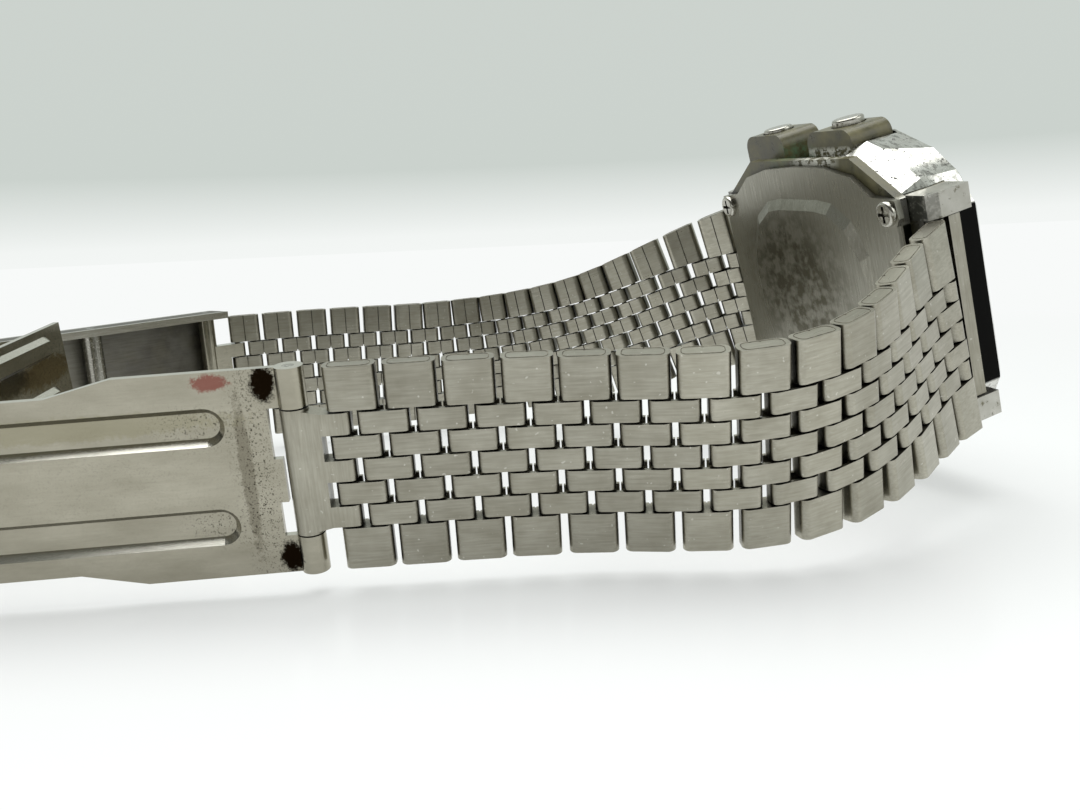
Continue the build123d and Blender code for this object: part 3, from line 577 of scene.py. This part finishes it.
def dress_clasp():
    """Stains and specks in the frame of each piece: x away from its hinge, z up, in millimetres."""
    hinge_grime = (
        ((1.9, 0.0, 6.9), (0.9, 3.0, 1.4), "#140d06", 1.0),
        ((1.6, 0.0, -6.7), (0.9, 3.0, 1.3), "#140d06", 1.0),
        ((5.6, 0.0, 7.2), (1.3, 1.4, 0.6), "#7c302a", 0.75),
        ((3.9, 0.0, 0.0), (0.5, 3.0, 6.0), "#5c5546", 0.5),
        ((17.0, 0.0, 4.4), (13.0, 1.6, 1.0), "#8f8a70", 0.5),
    )
    pepper = (((3.2, 0.0, 0.0), (1.3, 3.0, 8.0), 0.95), ((7.0, 0.0, 3.9), (2.6, 3.0, 1.3), 0.7),
              ((6.4, 0.0, -3.9), (2.2, 3.0, 1.3), 0.7), ((14.0, 0.6, 0.0), (10.0, 1.2, 6.5), 0.12))
    dress("grooved_blade", blade_steel("pressed_blade_steel", blade_frame, hinge_grime, pepper))
    middle_stains = (
        ((34.0, 0.0, 0.0), (5.0, 2.0, 1.6), "#7c6a42", 0.8),
        ((28.0, 0.0, 0.5), (3.0, 2.0, 1.2), "#2c2418", 0.8),
        ((20.0, 0.0, 0.0), (12.0, 2.0, 1.4), "#5d553d", 0.6),
    )
    middle_specks = (((34.0, 0.0, 0.0), (8.0, 3.0, 6.0), 0.6),)
    middle_steel = blade_steel("pressed_middle_steel", middle_frame, middle_stains, middle_specks)
    dress("middle_blade", middle_steel)
    dress("clasp_cover", cover_steel())
    plate_dirt = (((2.2, 0.0, 0.0), (2.0, 3.0, 5.0), 0.25),)
    dress("near_end_piece", brushed_steel("brushed_end_steel", near_end_frame, 0.97, 21.0, (0, 0, 1)))
    dress("far_end_piece", blade_steel("end_piece_steel", far_end_frame, (), plate_dirt))
    dress("blade_hinge_pins", turned_steel("pin_steel", tone=0.9))
    dress("cover_bars", turned_steel("bar_steel", tone=0.8))


def dress_case():
    dress("case_body", olive_resin())
    dress("chrome_shell", worn_chrome())
    dress("back_plate", back_steel())
    screw_steel = turned_steel("screw_steel", tone=1.0)
    dress("back_screws", screw_steel)
    dress("mode_button", turned_steel("button_steel", tone=0.95))
    dress("light_button", nodes["mode_button"].material_slots[0].material)
    for name in ("mode_button_clip", "light_button_clip", "mode_button_spring", "light_button_spring"):
        dress(name, screw_steel)
    dress("lug_spring_bars", turned_steel("lug_bar_steel", tone=0.8))
    dress("lug_end_links", brushed_steel("brushed_comb_steel", case_frame, 0.9, 31.0, (0, 1, 0)))
    rubber = plain_plastic("seal_rubber", "#101010", "#1a1a1a", roughness=0.75, ior=1.52)
    for name in ("crystal_gasket", "back_gasket", "button_seals", "contact_strips"):
        dress(name, rubber)
    dress("display_mask", plain_plastic("printed_mask", "#14171c", "#1b1f25", roughness=0.4))
    dress("module_frame", plain_plastic("module_plastic", "#161616", "#1e1e1e", roughness=0.5))
    dress("circuit_board", plain_plastic("board_lacquer", "#1d4a2c", "#235533", roughness=0.35))
    dress("battery", turned_steel("cell_steel", tone=1.0))
    dress("lcd_panel", liquid_crystal())
    dress("crystal", crystal_glass())


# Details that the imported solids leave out

def end_faces(name, matrix):
    """The flat outer ends of a link's two outer bars, as one mesh in the row frame."""
    mesh = nodes[name].data
    inverse = matrix.inverted()
    turn = inverse.to_3x3()
    least_height = 6.6 * mm
    least_facing = 0.85
    points = []
    faces = []
    for polygon in mesh.polygons:
        outward = turn @ polygon.normal
        middle = inverse @ polygon.center
        if abs(outward.z) > least_facing and middle.z * outward.z > 0 and abs(middle.z) > least_height:
            faces.append([len(points) + step for step in range(len(polygon.vertices))])
            points += [mesh.vertices[index].co.copy() for index in polygon.vertices]
    made = bpy.data.meshes.new(name + "_ends")
    made.from_pydata(points, [], faces)
    return made


merge_distance = 0.002 * mm
fold_line_share = 0.8  # of the end face
fold_line_radius = 0.035 * mm


def seam_tree(material):
    """Geometry Nodes: draws the fold line of an outer bar just inside the edge of each end face."""
    tree = bpy.data.node_groups.new("fold_line", "GeometryNodeTree")
    sockets = tree.interface
    sockets.new_socket("Geometry", in_out="INPUT", socket_type="NodeSocketGeometry")
    inset = sockets.new_socket("Line share", in_out="INPUT", socket_type="NodeSocketFloat")
    width = sockets.new_socket("Line radius", in_out="INPUT", socket_type="NodeSocketFloat")
    sockets.new_socket("Geometry", in_out="OUTPUT", socket_type="NodeSocketGeometry")
    given = node(tree, "NodeGroupInput").outputs
    merged = node(tree, "GeometryNodeMergeByDistance", {
        "Geometry": given["Geometry"], "Distance": merge_distance}).outputs["Geometry"]
    smaller = node(tree, "GeometryNodeScaleElements", {
        "Geometry": merged, "Scale": given["Line share"]}).outputs["Geometry"]
    sides = node(tree, "GeometryNodeInputMeshEdgeNeighbors").outputs["Face Count"]
    rim = node(tree, "FunctionNodeCompare", {"A": sides, "B": 1}, data_type="INT", operation="EQUAL")
    line = node(tree, "GeometryNodeMeshToCurve", {
        "Mesh": smaller, "Selection": rim.outputs[0]}).outputs["Curve"]
    profile = node(tree, "GeometryNodeCurvePrimitiveCircle", {
        "Resolution": 6, "Radius": given["Line radius"]}).outputs["Curve"]
    tube = node(tree, "GeometryNodeCurveToMesh", {
        "Curve": line, "Profile Curve": profile, "Fill Caps": True}).outputs["Mesh"]
    real = node(tree, "GeometryNodeRealizeInstances", {"Geometry": tube}).outputs[0]
    painted = node(tree, "GeometryNodeSetMaterial", {"Geometry": real, "Material": material})
    node(tree, "NodeGroupOutput", {"Geometry": painted.outputs[0]})
    return tree, inset.identifier, width.identifier


def plain_object(name, mesh, body):
    piece = bpy.data.objects.new(name, mesh)
    bpy.context.scene.collection.objects.link(piece)
    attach(piece, body)
    return piece


def grown(tree, name, mesh, values):
    """The mesh that a Geometry Nodes tree makes from the given one, with the modifier gone."""
    holder = bpy.data.objects.new(name, mesh)
    bpy.context.scene.collection.objects.link(holder)
    modifier = holder.modifiers.new("grow", "NODES")
    modifier.node_group = tree
    for identifier, value in values.items():
        modifier[identifier] = value
    bpy.context.view_layer.update()
    ready = holder.evaluated_get(bpy.context.evaluated_depsgraph_get())
    made = bpy.data.meshes.new_from_object(ready)
    bpy.data.objects.remove(holder)
    return made


def add_fold_lines():
    material = edge_line_steel()
    tree, inset, width = seam_tree(material)
    for side, frames in (("near", near_frames), ("far", far_frames)):
        for index, matrix in enumerate(frames, 1):
            name = f"{side}_link_{index:02d}"
            mesh = grown(tree, name + "_grow", end_faces(name, matrix), {
                inset: fold_line_share, width: fold_line_radius})
            mesh.name = name + "_fold_lines"
            plain_object(name + "_fold_lines", mesh, name)


def add_button_springs():
    """Each button's coil spring again, as a mesh of its own on the case, in place of the imported one."""
    for button in ("mode_button", "light_button"):
        name = button + "_spring"
        coil = plain_object(name + "_coil", nodes[name].data.copy(), "case")
        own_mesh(coil)
        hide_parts(name)


digit_strokes = {
    "0": "abcdef", "1": "bc", "2": "abged", "3": "abgcd", "4": "fgbc", "5": "afgcd", "6": "afgedc",
    "7": "abc", "8": "abcdefg", "9": "abcdfg"}
digit_slope_share = 0.12
segment_gap_share = 0.12


def stroke_ends(letter, width, height):
    """Where a segment starts and ends, from the middle of its digit."""
    half_width = width / 2
    half_height = height / 2
    corners = {
        "a": ((-1, 1), (1, 1)), "g": ((-1, 0), (1, 0)), "d": ((-1, -1), (1, -1)),
        "f": ((-1, 0), (-1, 1)), "b": ((1, 0), (1, 1)), "e": ((-1, -1), (-1, 0)), "c": ((1, -1), (1, 0))}
    return [Vector((x * half_width, y * half_height)) for x, y in corners[letter]]


def digit_faces(text, left, width, height, pitch, weight):
    """Flat six-cornered segments for a row of digits; a colon takes half a digit's place."""
    faces = []
    x = left
    for sign in text:
        if sign == ":":
            half = weight / 2
            for y in (-height / 5, height / 5):
                faces.append([Vector((x - pitch / 4 + dx, y + dy)) for dx, dy in (
                    (-half, -half), (half, -half), (half, half), (-half, half))])
            x += pitch / 2
            continue
        for letter in digit_strokes.get(sign, ""):
            start, end = stroke_ends(letter, width, height)
            along = (end - start).normalized()
            side = Vector((-along.y, along.x)) * weight / 2
            start = start + along * weight * (0.5 + segment_gap_share)
            end = end - along * weight * (0.5 + segment_gap_share)
            tip = along * weight / 2
            shape = (start - tip, start - side, end - side, end + tip, end + side, start + side)
            middle = Vector((x, 0))
            faces.append([middle + point + Vector((point.y * digit_slope_share, 0)) for point in shape])
        x += pitch
    return faces


def add_digits():
    """Plain digits on the liquid crystal, read across the band with the buttons on their left."""
    top = max((case_frame.inverted() @ vertex.co).z for vertex in nodes["lcd_panel"].data.vertices)
    above = 0.02 * mm
    rows = (
        ("10:58", -7.8 * mm, 2.0 * mm, 5.0 * mm, 3.0 * mm, 0.55 * mm, -1.6 * mm),
        ("36", 5.4 * mm, 1.3 * mm, 3.0 * mm, 2.0 * mm, 0.4 * mm, -2.6 * mm),
        ("6", 1.0 * mm, 1.1 * mm, 2.2 * mm, 1.8 * mm, 0.34 * mm, 4.0 * mm),
        ("30", 5.4 * mm, 1.1 * mm, 2.2 * mm, 1.8 * mm, 0.34 * mm, 4.0 * mm))
    points = []
    faces = []
    for text, left, width, height, pitch, weight, level in rows:
        for face in digit_faces(text, left, width, height, pitch, weight):
            faces.append(range(len(points), len(points) + len(face)))
            points += [case_frame @ Vector((p.y + level, -p.x, top + above)) for p in face]
    mesh = bpy.data.meshes.new("display_segments")
    mesh.from_pydata(points, [], [list(face) for face in faces])
    mesh.materials.append(segment_black())
    plain_object("display_segments", mesh, "case")


# Table, light and camera

def seen_directly(tree):
    """One for the camera's own rays and those in mirrors and glass, zero for soft light."""
    rays = node(tree, "ShaderNodeLightPath").outputs
    mirrored = larger(tree, rays["Is Glossy Ray"], rays["Is Transmission Ray"])
    return larger(tree, rays["Is Camera Ray"], mirrored)


def add_table():
    """A white glossy table: it keeps the watch's shadow and is bright to the camera and in mirrors."""
    size = 3.0
    mesh = bpy.data.meshes.new("table")
    corners = [(-size, -size, 0), (size, -size, 0), (size, size, 0), (-size, size, 0)]
    mesh.from_pydata(corners, [], [(0, 1, 2, 3)])
    table = bpy.data.objects.new("table", mesh)
    bpy.context.scene.collection.objects.link(table)
    material, tree = new_material("white_table_sheet")
    shine = node(tree, "ShaderNodeBsdfPrincipled", {
        "Base Color": colour("#f4f6f6"), "Roughness": 0.22, "IOR": 1.45})
    glow = node(tree, "ShaderNodeEmission", {"Color": colour("#f8faf9"), "Strength": 1.0})
    seen = seen_directly(tree)
    spot = node(tree, "ShaderNodeTexCoord").outputs["Object"]
    distance = node(tree, "ShaderNodeVectorMath", {0: spot}, operation="LENGTH").outputs["Value"]
    fade_from = 60 * mm
    fade_to = 220 * mm
    share = times(tree, seen, ramp(tree, distance, fade_from, fade_to, start=0.4, end=1.0))
    both = node(tree, "ShaderNodeMixShader", {0: share, 1: shine.outputs[0], 2: glow.outputs[0]})
    node(tree, "ShaderNodeOutputMaterial", {"Surface": both.outputs[0]})
    mesh.materials.append(material)


def add_room():
    """A pale wall behind, white at the table, a dimmer room in front, and soft light all round."""
    world = bpy.data.worlds.new("room")
    world.use_nodes = True
    tree = world.node_tree
    tree.nodes.clear()
    direction = node(tree, "ShaderNodeTexCoord").outputs["Generated"]
    height = split(tree, direction)["Z"]
    wall = node(tree, "ShaderNodeValToRGB", {0: ramp(tree, height, -0.05, 0.3)})
    stops = wall.color_ramp.elements
    stops[0].color = colour("#f8faf9")
    stops[1].color = colour("#cdd3ce")
    for place, hex_code in ((0.16, "#f2f5f3"), (0.34, "#cbd2cd")):
        stops.new(place).color = colour(hex_code)
    front = (-0.6, -0.8, 0.0)
    dimness = ramp(tree, dot(tree, direction, front), 0.0, 0.6)
    around = mixed(tree, dimness, wall.outputs["Color"], colour("#5c5c57"))
    seen_wall = node(tree, "ShaderNodeBackground", {"Color": around, "Strength": 1.0})
    soft = node(tree, "ShaderNodeValToRGB", {0: ramp(tree, height, -1.0, 1.0)})
    soft.color_ramp.elements[0].color = colour("#8d8f8c")
    soft.color_ramp.elements[1].color = colour("#d9dbd8")
    light = node(tree, "ShaderNodeBackground", {"Color": soft.outputs["Color"], "Strength": 0.75})
    seen = seen_directly(tree)
    both = node(tree, "ShaderNodeMixShader", {0: seen, 1: light.outputs[0], 2: seen_wall.outputs[0]})
    node(tree, "ShaderNodeOutputWorld", {"Surface": both.outputs[0]})
    bpy.context.scene.world = world


def add_lamp(name, place, aim, size, power):
    light = bpy.data.lights.new(name, "AREA")
    light.shape = "DISK"
    light.size = size
    light.energy = power
    lamp = bpy.data.objects.new(name, light)
    bpy.context.scene.collection.objects.link(lamp)
    turn = (Vector(aim) - Vector(place)).to_track_quat("-Z", "Y").to_matrix().to_4x4()
    lamp.matrix_world = Matrix.Translation(place) @ turn


def add_camera():
    """The photograph's viewpoint, about a hand's width in front of the near half of the band."""
    data = bpy.data.cameras.new("camera")
    data.sensor_width = 36.0
    data.lens = 33.27
    data.clip_start = 0.005
    camera = bpy.data.objects.new("camera", data)
    bpy.context.scene.collection.objects.link(camera)
    right = Vector((0.9986, -0.0281, -0.0450))
    up = Vector((0.0490, 0.1653, 0.9850))
    place = Vector((6.917, -102.033, 25.840)) * mm
    matrix = Matrix((right, up, right.cross(up))).transposed().to_4x4()
    matrix.translation = place
    camera.matrix_world = matrix
    bpy.context.scene.camera = camera


dress_links()
dress_clasp()
dress_case()
add_fold_lines()
add_button_springs()
add_digits()
add_table()
add_room()
lamp_aim = (0, 0, 10 * mm)
add_lamp("overhead_panel", (-0.05, 0.05, 0.42), lamp_aim, size=0.5, power=1.9)
add_lamp("side_panel", (0.4, -0.22, 0.3), lamp_aim, size=0.35, power=0.5)
add_camera()
bpy.context.scene.view_settings.view_transform = "Standard"
